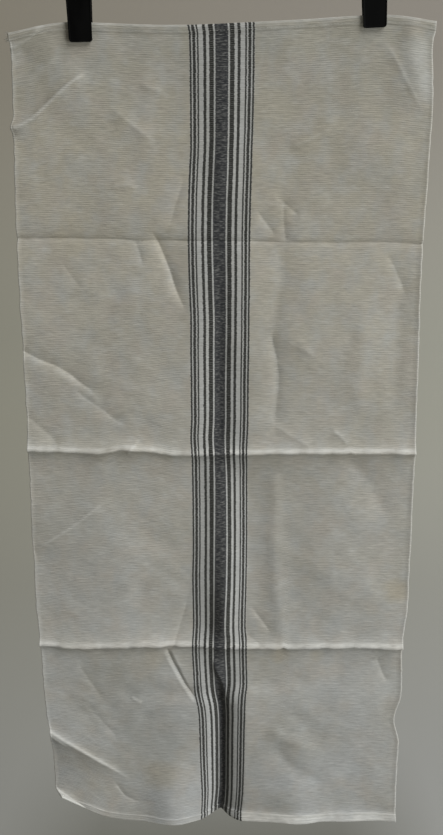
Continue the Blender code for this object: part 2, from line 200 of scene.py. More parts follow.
# painted light on the floor: darker to the left, lighter to the right, and lighter and warmer high up, standing in
# for light from the right and from above
floorPaintedLight = (  # left and right, at the front, far back and high up
    ((0.319, 0.315, 0.270), (0.549, 0.555, 0.537)),
    ((0.322, 0.308, 0.240), (0.540, 0.537, 0.463)),
    ((0.468, 0.428, 0.336), (0.630, 0.578, 0.520)),
)
floorBlends = dict(left=-2.2, right=2.2, near=1.6, far=4.2, low=-1.6, high=0.1, cloudSize=0.35, cloud=0.25)
# painted shadow: the floor darker under the towel
floorPaintedShadow = dict(colour=(0.270, 0.268, 0.235), back=1.85, front=1.30, outside=0.66, inside=0.36)


def makeFloor(sizes):
    bm = bmesh.new()
    ends = [bm.verts.new((side * sizes["halfWidth"], sizes["front"], -sizes["drop"])) for side in (-1, 1)]
    edge = bm.edges.new(ends)
    runs = [(0.0, sizes["back"] - sizes["bend"] - sizes["front"], 0.0)]
    for step in range(sizes["steps"]):
        low, high = (math.radians(90.0 * k / sizes["steps"]) for k in (step, step + 1))
        runs.append((0.0, sizes["bend"] * (math.sin(high) - math.sin(low)),
                     sizes["bend"] * (math.cos(low) - math.cos(high))))
    runs.append((0.0, 0.0, sizes["top"]))
    for run in runs:
        made = bmesh.ops.extrude_edge_only(bm, edges=[edge])["geom"]
        bmesh.ops.translate(bm, vec=run, verts=[item for item in made if isinstance(item, bmesh.types.BMVert)])
        edge = next(item for item in made if isinstance(item, bmesh.types.BMEdge))
    bmesh.ops.recalc_face_normals(bm, faces=bm.faces)
    floor = finishPiece(bm, "floor")
    floor.data.materials.append(makeFloorMaterial(floorBlends, floorPaintedShadow))
    return floor


def makeFloorMaterial(blends, under):
    pale = Nodes("paleFloor", **{"Roughness": 0.95, "Specular IOR Level": 0.1})
    place = pale.add("TexCoord").outputs["Object"]
    x, y, z = pale.split(place)
    cloudy = pale.times(pale.noise(place, blends["cloudSize"]), blends["cloud"])
    share = pale.math("ADD", pale.spread(x, blends["left"], blends["right"]), cloudy)
    # painted light: colours blended darker to the left, lighter to the right and lighter and warmer up high
    low, middle, high = (pale.blend(share, *pair) for pair in floorPaintedLight)
    colour = pale.blend(pale.spread(y, blends["near"], blends["far"]), low, middle)
    colour = pale.blend(pale.spread(z, blends["low"], blends["high"]), colour, high)
    # painted shadow under the towel, strongest nearer the front and the middle
    below = pale.times(pale.spread(y, under["back"], under["front"]),
                       pale.spread(pale.math("ABSOLUTE", x), under["outside"], under["inside"]))
    pale.paint(pale.blend(below, colour, under["colour"]))
    return pale.material


makeFloor(floorSizes)
print("floor and light done")


# the towel: its sizes, then how it hangs
towel = dict(
    half=0.2530,  # half width, laid flat
    band=0.0387,  # half width of the striped band
    bandMiddle=0.0077,  # half width of the band's broad middle stripe
    length=1.114,  # between the folds of its two hems
    top=-0.0489,  # height of the top hem's fold
    back=0.0006,  # the back face's place behind the plane of the clips
    cloth=0.0012,
    hem=0.0090,
    hemThick=0.0026,
    stitchLine=0.0072,  # from the hem's fold
)


def inMetres(value):
    return tuple(inMetres(item) for item in value) if isinstance(value, tuple) else value / 1000.0


def tableOf(names, plain, *rows):
    # a dictionary for each row, with all values in millimetres but those that plain names
    return [{name: value if name in plain.split() else inMetres(value)
             for name, value in zip(names.split(), row)} for row in rows]


def column(table, name):
    return [row[name] for row in table]


# the clips' tips, where the cloth is held flat
grips = (
    dict(x=-0.1643, down=0.0190),
    dict(x=0.1786, down=0.0032),
)
gripShape = dict(halfWidth=0.0145, margin=0.003, reach=0.035)

# side edges at heights down from the top hem
sideEdges = tableOf(
    "down left right", "",
    (0, -249, 250.5), (11, -248, 250), (22, -247.5, 247.2), (92, -248.8, 251.5), (102, -249, 251.7),
    (111, -251.8, 251.8), (121, -250.2, 251.8), (252, -254, 250), (400, -254, 252.5), (533, -254.5, 255),
    (760, -256.5, 257.5), (825, -253.5, 253), (900, -252, 256.3), (945, -251, 248.5), (985, -246.6, 256.5),
    (1050, -245.2, 256), (1114, -246, 257.5),
)

# hems and creases: how far each lies above its own height, at six places across
places = dict(leftEnd=-0.250, leftClip=-0.178, leftMid=-0.060, rightMid=0.075, rightClip=0.192, rightEnd=0.250)
levels = tableOf(
    "name down leftEnd leftClip leftMid rightMid rightClip rightEnd", "name",
    ("top", 0, -9, 3, 0, 5, 11, 4),
    ("first", 252.5, 3.5, 3, 0, -1, -2, -3),
    ("second", 533, 7.8, 4, 0.4, 3.2, 3.8, 2.6),
    ("third", 824, 8.6, 5.2, 6.8, 3.8, 5.2, 5.2),
    ("bottom", 1114, 14.5, 4.5, 1.5, 5, 6, 5),
)

# pressed creases: soft and sharp are heights towards the viewer, wobble is how far the line strays up and down, and
# shine is how much paler the cloth just above the crease is painted, a painted highlight
creases = tableOf(
    "level soft above below sharp sharpAbove sharpBelow wobble shine", "level shine",
    ("first", -2.6, 12, 28, -1.6, 3, 3, 0.8, 0),
    ("second", 3.2, 16, 32, 7.2, 6.6, 2.2, 0.5, 0.80),
    ("third", 2.8, 16, 30, 6.6, 5.8, 2.1, 0.5, 0.70),
)
# places where a pressed line bends: its middle and half width across, and how far it rises there
creaseBends = tableOf(
    "level across width rise", "level",
    ("second", -127, 20, 1.6), ("second", 168, 5, 1.2), ("third", -248, 16, 1), ("third", -116, 20, 1.4),
    ("third", 86, 4, 2.6), ("third", 140, 30, 1), ("second", -113, 40, 6), ("bottom", -230, 52, 17),
)
creaseShape = dict(
    # shine: a painted highlight just above each crease, stronger towards the right and uneven along it
    round=0.0003, shineAbove=0.0030, shineWidth=0.0027, shineLeft=0.75, shineRise=0.25, shineOver=0.08,
    # unevenness along a crease: height, spacing and step of the seed
    strays=((1.0, 0.034, 0), (0.4, 0.011, 3)), softWaves=((0.20, 0.060, 2),),
    sharpWaves=((0.30, 0.018, 1), (0.16, 0.006, 4)), highlightWaves=((0.30, 0.015, 0), (0.15, 0.005, 3)),
)

# the lengthwise fold: slope of each strip of the band in degrees, above 0 going back to the right
strips = dict(farLeft=(-0.0387, -0.022), left=(-0.022, -0.008), floor=(-0.008, 0.0),
              wall=(0.0, 0.008), right=(0.008, 0.0152), farRight=(0.0152, 0.0387))
fold = tableOf(
    "down middle depth farLeft left floor wall right farRight", "farLeft left floor wall right farRight",
    (0, 0.3, 0, 0, 0, 0, 0, 0, 0),
    (130, 0, -0.6, 0, -3, -6, 6, 3, 1),
    (215, -2.6, -0.4, 0, -2, -6, 7, 2, 1),
    (252, -3, 0, 0, 0, 0, 0, 0, 0),
    (352, -2, 2, 2, 8, 12, -14, -8, -2),
    (480, -1.4, 3.2, 3, 9, 14, -17, -10, -3),
    (533, -2.8, 1, 0, 2, 4, -3, 0, 0),
    (575, -1.8, -2.2, -4, -9, 8, 20, 19, 13),
    (700, -2.4, -2.8, -5, -10, -12, 2, 21, 14),
    (795, -3, -1.6, -4, -12, -34, -26, 20, 11),
    (825, -3, 0, -1, -2, -15, 8, 2, 0),
    (859, -2, 3, 6, 8, -4, 12, -10, -6),
    (882, -0.6, 6.5, 5, 18, 8, 6, -22, -8),
    (900, 1, 10.5, 5, 26, 8, -34, -40, -11),
    (925, 2.8, 13.5, 5, 32, 38, -62, -48, -14),
    (990, 3.1, 16.8, 6, 36, 40, -66, -52, -15),
    (1060, 2.9, 21.5, 22, 40, 40, -66, -52, -20),
    (1114, -0.3, 28, 32, 46, 30, -56, -50, -28),
)
foldShape = dict(reach=0.55, steps=310)

# small sideways moves, to the right, of the band's edges and of its middle stripe's edges
bandMoves = tableOf(
    "down farLeft left right farRight", "",
    (0, 0.2, 0.2, 0, 0), (50, 1, 0.5, 0, 0), (120, 0.9, 0.5, -0.2, -0.6), (143, 1, 0.2, -0.5, -1.1),
    (165, 0.2, 0, -0.3, -0.7), (215, 0, 0, 0.1, 0), (300, 0.1, 0.4, 0.3, -0.4), (352, 0.8, 0.7, 0, -0.9),
    (400, 0.1, 0.1, -0.6, -1.2), (450, 0, -0.2, -1.3, -1.6), (505, -0.2, -0.4, -1.2, -1.6),
    (538, 2.1, 1.5, -0.4, -2.2), (570, 1.1, 1.1, 0, -1.1), (620, 1.4, 1.2, 0.5, -0.6),
    (665, 1.6, 1.2, 0.8, -0.2), (720, 0.4, 1, 0.7, -0.4), (790, 0, 0.2, -0.1, -0.5), (860, 0, -0.5, 0, -0.3),
    (905, -2.6, -2.4, -1.4, -0.3), (950, -0.6, -0.6, 0, 0), (1114, 0, 0, 0, 0),
)

# folds, each a ridge (height above 0) or a trough along a path of points (across, down). over is the width of
# the flank above the line or to its right, under that of the other; round blunts the crest; start and end are
# the shares of the length in which it fades; shine is how much paler the crest is painted, a painted highlight
folds = tableOf(
    "path height over under round start end shine", "start end shine",
    # between the top hem and the first crease
    (((-254.7, 114.7), (-210.2, 88.7), (-155.2, 50.1)), 2.2, 22, 12, 2, 0.05, 0.25),
    (((-254.8, 117), (-239, 112.6), (-225.4, 104.4), (-210.4, 91.9), (-194.2, 77.5), (-177, 63.6), (-158.8, 52.4)),
     3, 2.6, 5, 0.6, 0.02, 0.14, 0.5),
    (((-242, 20), (-230, 35), (-228, 60)), -1.6, 12, 14, 1.5, 0.3, 0.4),
    (((189, 16.6), (204.1, 36.6), (215.7, 56.9), (230, 80.7), (243.3, 104.8)), 1, 4, 7, 0.6, 0.04, 0.35, 0.22),
    (((212.1, -12), (219.1, 11.1), (225.7, 44.5), (233, 70.5), (241.7, 96.8), (247.4, 112.9)), 5.6, 18, 30, 4, 0.2,
     0.4),
    (((-135.3, 91), (-114.3, 107.2), (-96.6, 121.1), (-77.7, 135.1)), 2, 5, 12, 1.2, 0.3, 0.3, 0.1),
    (((-98.5, 64.9), (-84.8, 70.5), (-68, 77.1)), 1.2, 5, 5, 0.8, 0.3, 0.3, 0.15),
    (((-138.5, 189.7), (-128.6, 184.9), (-116.4, 183.7), (-99.4, 187.3)), 1.3, 4, 5.5, 0.8, 0.3, 0.3, 0.2),
    (((-64, 236), (-58.3, 214), (-50.7, 192.2), (-43.1, 165.8)), -1.2, 5, 6, 0.8, 0.25, 0.35),
    (((77.8, 139.8), (100.5, 132.8), (120.7, 122.2), (144.1, 106)), 1.6, 6, 8, 1, 0.25, 0.35, 0.15),
    (((41.6, 212), (53.6, 228.6), (67.4, 245.8)), -1.7, 6, 4.5, 0.8, 0.25, 0.2),
    (((66.7, 197.4), (81.5, 209.1), (98.5, 223.5)), -1.5, 6, 4.5, 0.8, 0.25, 0.25),
    (((76, 198.6), (77.2, 228.6), (79.9, 253.3)), -1.4, 5, 5, 0.8, 0.35, 0.1),
    # between the first and second creases
    (((-86.8, 238.9), (-78.7, 254.5), (-65.8, 285.7), (-56.2, 316.2), (-41.4, 347)), -4.2, 11, 4.2, 0.8, 0.12, 0.35),
    (((-106.9, 252.5), (-101.3, 269.4), (-96.7, 287.7)), -1.2, 5, 5, 0.8, 0.1, 0.4),
    (((-200.7, 276.2), (-187.1, 297.1), (-170.8, 317.2)), -1.1, 9, 5, 1, 0.25, 0.35),
    (((-264, 387.2), (-232.7, 404.7), (-207.6, 416.1), (-195.1, 424.8), (-182.7, 434.8), (-170.1, 443.6),
     (-156, 457)), -3, 9.5, 3, 0.8, 0.02, 0.35),
    (((-193, 441), (-177, 455.8), (-158.1, 469.5), (-136.5, 487.7), (-121.5, 490.3)), -0.8, 6, 2.4, 0.6, 0.15, 0.12,
     0.18),
    (((-262, 474.8), (-239, 493.2), (-220.5, 510.9), (-210.6, 523)), -1.8, 11, 6, 1.8, 0.05, 0.25),
    (((73.9, 253.2), (74.4, 297.1), (70, 330.3), (67.3, 363.9), (65, 378.3), (67.9, 398.1), (70.4, 420.7),
     (70, 523.7)), -2.6, 11, 12, 1.5, 0.06, 0.15),
    (((64.3, 368.3), (65.1, 378.3), (69.9, 398.1), (73.4, 420.7), (72, 480)), -0.8, 4, 3.5, 0.6, 0.15, 0.3, 0.2),
    (((77.1, 375.7), (97.7, 386.2), (123.6, 399.4)), 1.2, 7, 10, 0.9, 0.25, 0.35, 0.12),
    (((204.3, 265.7), (215.1, 283.2), (226.3, 306), (235, 330)), -1.8, 12, 6, 1, 0.2, 0.35),
    (((178, 280), (177, 390), (176, 500)), 3, 24, 24, 2, 0.3, 0.3),
    (((226, 285), (225, 390), (224, 500)), -3, 18, 20, 2, 0.3, 0.3),
    (((60.8, 486.7), (74, 495), (92.5, 507.1), (119.1, 523.4)), 1.5, 7, 8, 1.2, 0.2, 0.2, 0.25),
    (((143.4, 497.7), (155, 507), (166.3, 518.8)), 1.5, 4, 5, 0.7, 0.25, 0.2, 0.25),
    (((-106, 512), (-118, 523), (-124, 533)), 1.4, 4, 5, 0.7, 0.3, 0.1, 0.3),
    # between the second and third creases
    (((166.7, 534.9), (185.2, 561.6), (199.3, 581.6), (217.9, 609.1), (235.1, 631)), -3, 12, 13, 0.9, 0.1, 0.3),
    (((-255.3, 672.4), (-225.4, 653.1), (-197.5, 633.9), (-173.9, 614.9), (-146.4, 594.6)), 2.2, 5.5, 9, 0.8, 0.18,
     0.35, 0.35),
    (((67.1, 553), (72.5, 596), (72.6, 681.4), (74.6, 731.4), (80.9, 770), (82.8, 818.7)), 3, 9, 11, 1.2, 0.08, 0.08),
    (((39.4, 757.6), (56.3, 780.9), (69.7, 800.2)), -1.7, 8, 3.5, 0.8, 0.25, 0.2),
    (((34.2, 800.3), (44, 809), (56.7, 818.2)), -1, 4.5, 4, 0.7, 0.25, 0.2),
    (((-43.4, 733), (-50.6, 763.8), (-59.3, 795), (-67.6, 822.3)), -1.4, 7, 5, 0.9, 0.35, 0.05),
    # under the third crease
    (((-77.8, 821.9), (-68.4, 845.9), (-57.3, 868.5), (-45.5, 891.3), (-35, 911)), -2.8, 3.8, 1.8, 0.6, 0.06, 0.25),
    (((-70.9, 823.5), (-60, 850.7), (-50.3, 873.3), (-40.6, 894.5)), 1.4, 5, 2.4, 0.6, 0.1, 0.2, 0.3),
    (((217.3, 834.7), (225.3, 857.2), (236.4, 881.5)), -1.8, 9, 4.5, 0.9, 0.15, 0.35),
    (((-203, 842), (-193, 864), (-173.1, 899.5), (-160, 915)), -1.2, 11, 6, 1, 0.2, 0.35),
    (((-195.2, 915.9), (-173.8, 939), (-153.8, 966), (-150, 985)), -1.2, 11, 6, 1, 0.25, 0.3),
    (((-130, 901), (-122, 907), (-112, 911)), 1.2, 3.5, 4.5, 0.6, 0.25, 0.25, 0.45),
    (((-264, 947), (-251.3, 955.2), (-233.3, 968.7), (-191.1, 998.5), (-162.7, 1019.1), (-128.2, 1046)), 3.4, 3.4,
     11, 0.5, 0.01, 0.35, 0.75),
    (((-160.5, 1041.3), (-152.1, 1055.2), (-140.8, 1071), (-127.7, 1078), (-108.6, 1079.8)), -1.4, 8, 3.2, 0.7,
     0.25, 0.25, 0.3),
    (((61.2, 950.9), (90.3, 966), (121, 982.9), (152.1, 1006.8)), 4.7, 7.6, 19, 3, 0.28, 0.45),
    (((70.1, 971.1), (83.5, 994.8), (99.9, 1017.1), (129.6, 1037.8), (162.4, 1053.5)), -2.4, 10, 10, 2, 0.25, 0.3),
    (((-82.1, 823.5), (-72.6, 847.5), (-61.6, 870.1), (-49.1, 894.5), (-37.9, 912.6)), 0.7, 1.6, 3.4, 0.5, 0.3,
     0.08, 0.38),
    (((-11.9, 833.1), (-7.8, 853.9), (1.4, 878.2), (7.8, 902.7), (10.7, 917.6)), 5, 11, 3.6, 0.5, 0.25, 0.15),
    # at the top hem's left end, and at the head of the long ridge at the lower left
    (((-249.3, 26.6), (-243.3, 24.4), (-226.4, 15.5), (-214.2, 5.6), (-204.6, 0.1)), 1.6, 12, 2, 0.5, 0.05, 0.3,
     0.25),
    (((-254.3, 954.2), (-244.8, 966), (-232.3, 976.1), (-215.5, 989.7)), 1.4, 2.8, 6, 0.5, 0.02, 0.5, 0.8),
)
foldLook = dict(shineWidth=0.0017, narrow=0.0075, pastEnds=0.01)
fineReach = (0.0085, 0.0034)  # cells nearer than this to a narrow fold's line are halved, once and again

# broad swellings towards the viewer
swells = tableOf(
    "x down wide tall height", "",
    (-70, 1140, 38, 120, 15.5), (108, 1140, 44, 130, 9), (262, 1120, 26, 60, 4), (-150, 680, 70, 70, 4),
    (170, 730, 60, 60, 3.5),
)

# lower left: the part under the long ridge swings back, and the corner's tip curls forward
swing = dict(x1=-0.2517, down1=0.9593, x2=-0.1342, down2=1.0430, angle=8.5, full=0.06, gone=0.85,
             reach=0.112, ease=1.5)
# paler is how much the curled tip is painted paler, a painted highlight
curl = dict(x1=-0.2395, down1=1.0635, x2=-0.1880, down2=1.0985, radius=0.0022, angle=105.0, paler=0.65,
            palerOver=0.004, fineMargin=0.003, fineLeftOf=-0.190, coarser=4.0)
bottomFlare = dict(left=0.0004, right=0.0095, over=0.0140, turn=-0.010, turnWidth=0.050,
                   least=0.85, waves=((0.35, 0.030, 0),))

# small unevenness of hand-woven, washed cloth, in metres, and patches where it is crushed
unevenness = (
    dict(wide=0.060, tall=0.070, height=0.0012, seed=3),
    dict(wide=0.027, tall=0.029, height=0.0007, seed=5),
    dict(wide=0.013, tall=0.013, height=0.00018, seed=8),
)
crush = dict(height=0.0014, wide=0.036, tall=0.017, turn=34.0, seed=17, everywhere=0.22)
crushedPatches = tableOf(
    "across down wide tall share", "share",
    (-135, 440, 60, 60, 0.9), (-150, 300, 50, 40, 0.7), (-110, 720, 60, 70, 0.9), (-130, 920, 60, 50, 0.9),
    (-110, 130, 50, 50, 0.5), (85, 210, 45, 40, 0.7), (160, 720, 70, 80, 0.7), (120, 960, 70, 60, 0.9),
    (110, 430, 50, 60, 0.5),
)
edgeWander = dict(left=0.0007, right=0.00045, spacing=0.0075, width=0.010)

rowSteps = dict(plain=0.0061, nearCrease=0.0008, creaseHalf=0.0070, low=0.0054, lowFrom=0.85)
columnSteps = dict(plain=0.0058, band=0.0026, bandMargin=0.005, corner=0.0040, cornerWidth=0.056)
edgeMarks = (0.0, 0.0007, 0.0017, 0.0030)  # columns this far from each side edge
hemMarks = (0.0, 0.0006, 0.0016, 0.0034, 0.0054, 0.0066, 0.0072, 0.0078, 0.0086, 0.0091, 0.0096, 0.0103, 0.0130)


def ease(v):
    v = np.clip(v, 0.0, 1.0)
    return v * v * (3.0 - 2.0 * v)


def bell(v, width):
    return np.exp(-(v / width) ** 2)


def smoothRun(at, marks, values):
    # a curve through the values at the marks that never overshoots
    marks = np.asarray(marks, float)
    values = np.asarray(values, float)
    at = np.clip(at, marks[0], marks[-1])
    steps = np.diff(marks)
    rises = np.diff(values) / steps
    slopes = np.zeros(len(marks))
    sameWay = rises[1:] * rises[:-1] > 0.0
    slopes[1:-1][sameWay] = 2.0 * (rises[1:] * rises[:-1])[sameWay] / (rises[1:] + rises[:-1])[sameWay]
    slopes[0] = rises[0]
    slopes[-1] = rises[-1]
    i = np.clip(np.searchsorted(marks, at, side="right") - 1, 0, len(marks) - 2)
    u = (at - marks[i]) / steps[i]
    return (values[i] * (1.0 + 2.0 * u) * (1.0 - u) ** 2 + values[i + 1] * u * u * (3.0 - 2.0 * u)
            + steps[i] * u * (1.0 - u) * (slopes[i] * (1.0 - u) - slopes[i + 1] * u))


def tableRun(down, table, name):
    return float(smoothRun(down, column(table, "down"), column(table, name)))


def wander(at, spacing, seed):
    # smooth random line between about -1 and 1
    at = np.asarray(at, float) / spacing + 200.0
    values = np.random.default_rng(seed).uniform(-1.0, 1.0, 1200)
    i = np.floor(at).astype(int)
    return values[i] + (values[i + 1] - values[i]) * ease(at - i)


def waves(at, seed, parts):
    return sum(height * wander(at, spacing, seed + step) for height, spacing, step in parts)


def softNoise(u, v, wide, tall, seed):
    # smooth random surface between about -1 and 1
    u, v = u / wide + 40.0, v / tall + 40.0
    values = np.random.default_rng(seed).uniform(-1.0, 1.0, (240, 240))
    i, j = np.floor(u).astype(int), np.floor(v).astype(int)
    fu, fv = ease(u - i), ease(v - j)
    low = values[i, j] * (1 - fu) + values[i + 1, j] * fu
    high = values[i, j + 1] * (1 - fu) + values[i + 1, j + 1] * fu
    return low * (1 - fv) + high * fv


def addUp(rates, at):
    return np.concatenate([[0.0], np.cumsum(0.5 * np.diff(at) * (rates[1:] + rates[:-1]))])


def foldSection(down):
    # the band's course across the towel at one height: sideways and backwards for each flat distance
    band, middle = towel["band"], towel["bandMiddle"]
    flat = np.linspace(-band, band, foldShape["steps"])
    middles = [0.5 * (a + b) for a, b in strips.values()]
    slope = np.radians(smoothRun(flat, middles, [tableRun(down, fold, name) for name in strips]))
    across, back = addUp(np.cos(slope), flat), addUp(np.sin(slope), flat)
    across += tableRun(down, fold, "middle") - np.interp(0.0, flat, across)
    back += tableRun(down, fold, "depth") - np.interp(0.0, flat, back)
    moves = [tableRun(down, bandMoves, name) for name in ("farLeft", "left", "right", "farRight")]
    return flat, across + smoothRun(flat, (-band, -middle, middle, band), moves), back


def layOut(flats, downs):
    # the cloth's course with its lengthwise fold, and how far each level is lifted
    x, y, z = (np.zeros((len(downs), len(flats))) for _ in range(3))
    leftWander = edgeWander["left"] * wander(downs, edgeWander["spacing"], 11)
    rightWander = edgeWander["right"] * wander(downs, edgeWander["spacing"], 12)
    side = np.clip((np.abs(flats) - towel["band"]) / (towel["half"] - towel["band"]), 0.0, 1.0)
    nearEdge = ease(1.0 - (towel["half"] - np.abs(flats)) / edgeWander["width"])
    for r, down in enumerate(downs):
        flat, across, back = foldSection(down)
        edges = [tableRun(down, sideEdges, name) for name in ("left", "right")]
        x[r] = np.interp(flats, flat, across) * (1.0 - side) + np.where(flats < 0, *edges) * side
        x[r] += nearEdge * np.where(flats < 0, leftWander[r], rightWander[r])
        y[r] = np.interp(flats, flat, back) * (1.0 - ease(side / foldShape["reach"]))
    lifts = {level["name"]: smoothRun(x, list(places.values()), [level[place] for place in places])
             for level in levels}
    for bend in creaseBends:
        lifts[bend["level"]] += bend["rise"] * np.exp(-np.abs((x - bend["across"]) / bend["width"]) ** 3)
    heights = column(levels, "down")
    for r, down in enumerate(downs):
        i = min(int(np.searchsorted(heights, down, side="right")) - 1, len(levels) - 2)
        u = (down - heights[i]) / (heights[i + 1] - heights[i])
        above, below = (lifts[level["name"]][r] for level in levels[i:i + 2])
        z[r] = -down + (1.0 - u) * above + u * below
    return x, y, z, lifts


def creaseHeight(x, away, crease, seed):
    below = away > 0
    far = np.hypot(away, creaseShape["round"]) - creaseShape["round"]
    soft = crease["soft"] * np.exp(-far / np.where(below, crease["below"], crease["above"]))
    sharp = crease["sharp"] * np.exp(-far / np.where(below, crease["sharpBelow"], crease["sharpAbove"]))
    return (soft * (1.0 + waves(x, seed, creaseShape["softWaves"]))
            + sharp * (1.0 + waves(x, seed, creaseShape["sharpWaves"])))


def foldPlace(x, down, path):
    # how far along the path a point lies, from 0 to 1, and how far above or right of it
    points = np.array(path)
    along = points[-1] - points[0]
    length = float(np.hypot(*along))
    along /= length
    beside = points - points[0]
    strays = beside[:, 0] * along[1] - beside[:, 1] * along[0]
    awayX, awayDown = x - points[0, 0], down - points[0, 1]
    run = awayX * along[0] + awayDown * along[1]
    return run / length, awayX * along[1] - awayDown * along[0] - smoothRun(run, beside @ along, strays)


def foldHeight(x, down, row):
    u, v = foldPlace(x, down, row["path"])
    ends = ease(u / row["start"]) * ease((1.0 - u) / row["end"])
    width = np.where(v > 0, row["over"], row["under"])
    far = np.hypot(v, row["round"]) - row["round"]
    return row["height"] * np.exp(-far / width) * ends, bell(v, foldLook["shineWidth"]) * ends


def crushHeight(x, down):
    # short sharp wrinkles, lying one way and the other
    turn = math.radians(crush["turn"])
    total = np.zeros_like(x)
    for k, side in enumerate((1.0, -1.0)):
        u = x * math.cos(turn) + side * down * math.sin(turn)
        v = down * math.cos(turn) - side * x * math.sin(turn)
        total += 0.5 - np.abs(softNoise(u, v, crush["wide"], crush["tall"], crush["seed"] + k))
    share = np.full_like(x, crush["everywhere"])
    for patch in crushedPatches:
        share += patch["share"] * bell(x - patch["across"], patch["wide"]) * bell(down - patch["down"], patch["tall"])
    return crush["height"] * share * total


def gripFreedom(x, z):
    # 0 where a clip holds the cloth flat, 1 away from both
    free = np.ones_like(x)
    for grip in grips:
        beside = np.maximum(np.abs(x - grip["x"]) - gripShape["halfWidth"] - gripShape["margin"], 0.0)
        below = np.maximum(-z - grip["down"] - gripShape["margin"], 0.0)
        free = np.minimum(free, ease(np.hypot(beside, below) / gripShape["reach"]))
    return free


def pastLine(x, down, line):
    # the line's direction, how far along it a point lies, from 0 to 1, and how far past it, below and left
    along = np.array([line["x2"] - line["x1"], line["down2"] - line["down1"]])
    length = float(np.hypot(*along))
    along /= length
    awayX, awayDown = x - line["x1"], down - line["down1"]
    return (along, (awayX * along[0] + awayDown * along[1]) / length,
            np.maximum(awayDown * along[0] - awayX * along[1], 0.0))


def swingBack(x, y, z):
    along, u, past = pastLine(x, -z, swing)
    turn = math.radians(swing["angle"]) * (1.0 - ease((u - swing["full"]) / (swing["gone"] - swing["full"])))
    shorter = past * (1.0 - np.cos(turn))
    back = swing["reach"] * (1.0 - np.maximum(1.0 - past / swing["reach"], 0.0) ** swing["ease"])
    return x + shorter * along[1], y + back * np.sin(turn), z + shorter * along[0]


def curlForward(x, y, z, flatX, flatDown):
    along, _, past = pastLine(flatX, flatDown, curl)
    turn = np.minimum(past / curl["radius"], math.radians(curl["angle"]))
    straight = past - turn * curl["radius"]
    shorter = past - curl["radius"] * np.sin(turn) - straight * np.cos(turn)
    forward = curl["radius"] * (1.0 - np.cos(turn)) + straight * np.sin(turn)
    return x + shorter * along[1], y - forward, z + shorter * along[0], ease(past / curl["palerOver"])


def drape(flats, downs):
    # the towel's back face, for each row (down) and column (flat distance from the middle)
    x, y, z, lifts = layOut(flats, downs)
    forward = np.zeros_like(x)
    shine = np.zeros_like(x)
    heights = dict(zip(column(levels, "name"), column(levels, "down")))
    for k, crease in enumerate(creases):
        seed = 20 + 5 * k
        # distance below the crease's wandering line
        away = (-z - (heights[crease["level"]] - lifts[crease["level"]])
                + crease["wobble"] * waves(x, seed, creaseShape["strays"]))
        forward += creaseHeight(x, away, crease, seed)
        # painted highlight just above each crease
        paintedHighlight = (creaseShape["shineLeft"] + creaseShape["shineRise"] * ease(x / creaseShape["shineOver"])
                  + waves(x, 80 + k, creaseShape["highlightWaves"]))
        shine += crease["shine"] * paintedHighlight * bell(away + creaseShape["shineAbove"], creaseShape["shineWidth"])
    for row in folds:
        height, crest = foldHeight(x, -z, row)
        forward += height
        # painted highlight along the fold's crest
        shine += row.get("shine", 0.0) * crest
    for swell in swells:
        forward += swell["height"] * bell(x - swell["x"], swell["wide"]) * bell(-z - swell["down"], swell["tall"])
    for patch in unevenness:
        forward += patch["height"] * softNoise(x, -z, patch["wide"], patch["tall"], patch["seed"])
    forward += crushHeight(x, -z)
    nearBottom = ease((np.asarray(downs)[:, None] - towel["length"] + bottomFlare["over"]) / bottomFlare["over"])
    flare = bottomFlare["left"] + (bottomFlare["right"] - bottomFlare["left"]) * ease(
        (flats - bottomFlare["turn"]) / bottomFlare["turnWidth"])
    flare *= bottomFlare["least"] + waves(flats, 51, bottomFlare["waves"])
    forward += nearBottom * flare[None, :]
    y = (y - forward) * gripFreedom(x, z)
    flatX, flatDown = x.copy(), -z
    x, y, z = swingBack(x, y, z)
    x, y, z, turned = curlForward(x, y, z, flatX, flatDown)
    # painted highlight on the curled corner
    shine += curl["paler"] * turned
    return x, y + towel["back"], z + towel["top"], flatX, flatDown, shine * gripFreedom(flatX, -flatDown)


def spacedMarks(marks, stepAt):
    # fills the gaps between the marks with steps no longer than stepAt gives there
    marks = sorted(set(round(mark, 6) for mark in marks))
    filled = [marks[0]]
    for start, end in zip(marks, marks[1:]):
        count = max(1, math.ceil((end - start) / stepAt(0.5 * (start + end)) - 1e-6))
        filled += [start + (end - start) * k / count for k in range(1, count + 1)]
    return np.array(filled)


def towelRows():
    half = rowSteps["creaseHalf"]
    creaseDowns = [level["down"] for level in levels if level["name"] in column(creases, "level")]
    marks = [*hemMarks, *(towel["length"] - mark for mark in hemMarks),
             *(down + side * half for down in creaseDowns for side in (-1, 1))]

    def stepAt(down):
        if any(abs(down - crease) < half for crease in creaseDowns):
            return rowSteps["nearCrease"]
        return rowSteps["low"] if down > rowSteps["lowFrom"] else rowSteps["plain"]
    return spacedMarks(marks, stepAt)


def towelColumns():
    bandEnd = towel["band"] + columnSteps["bandMargin"]
    cornerEnd = -towel["half"] + columnSteps["cornerWidth"]
    marks = [side * (towel["half"] - mark) for mark in edgeMarks for side in (-1, 1)]

    def stepAt(flat):
        if flat < cornerEnd:
            return columnSteps["corner"]
        return columnSteps["band"] if abs(flat) < bandEnd else columnSteps["plain"]
    return spacedMarks([*marks, cornerEnd, -bandEnd, bandEnd], stepAt)


hemProfile = tableOf(  # share of the hem's full thickness, from the fold inwards
    "at share", "share",
    (0, 0.58), (0.6, 0.74), (1.6, 0.84), (3.4, 0.80), (5.4, 0.76), (6.6, 0.68),
    (7.2, 0.46), (7.8, 0.70), (8.6, 0.72), (9.1, 0.46), (9.6, 0.16), (10.3, 0.00),
)
hemPucker = dict(height=0.16, spacing=0.0065, edge=0.0005)
selvedge = dict(width=0.0018, share=0.30)


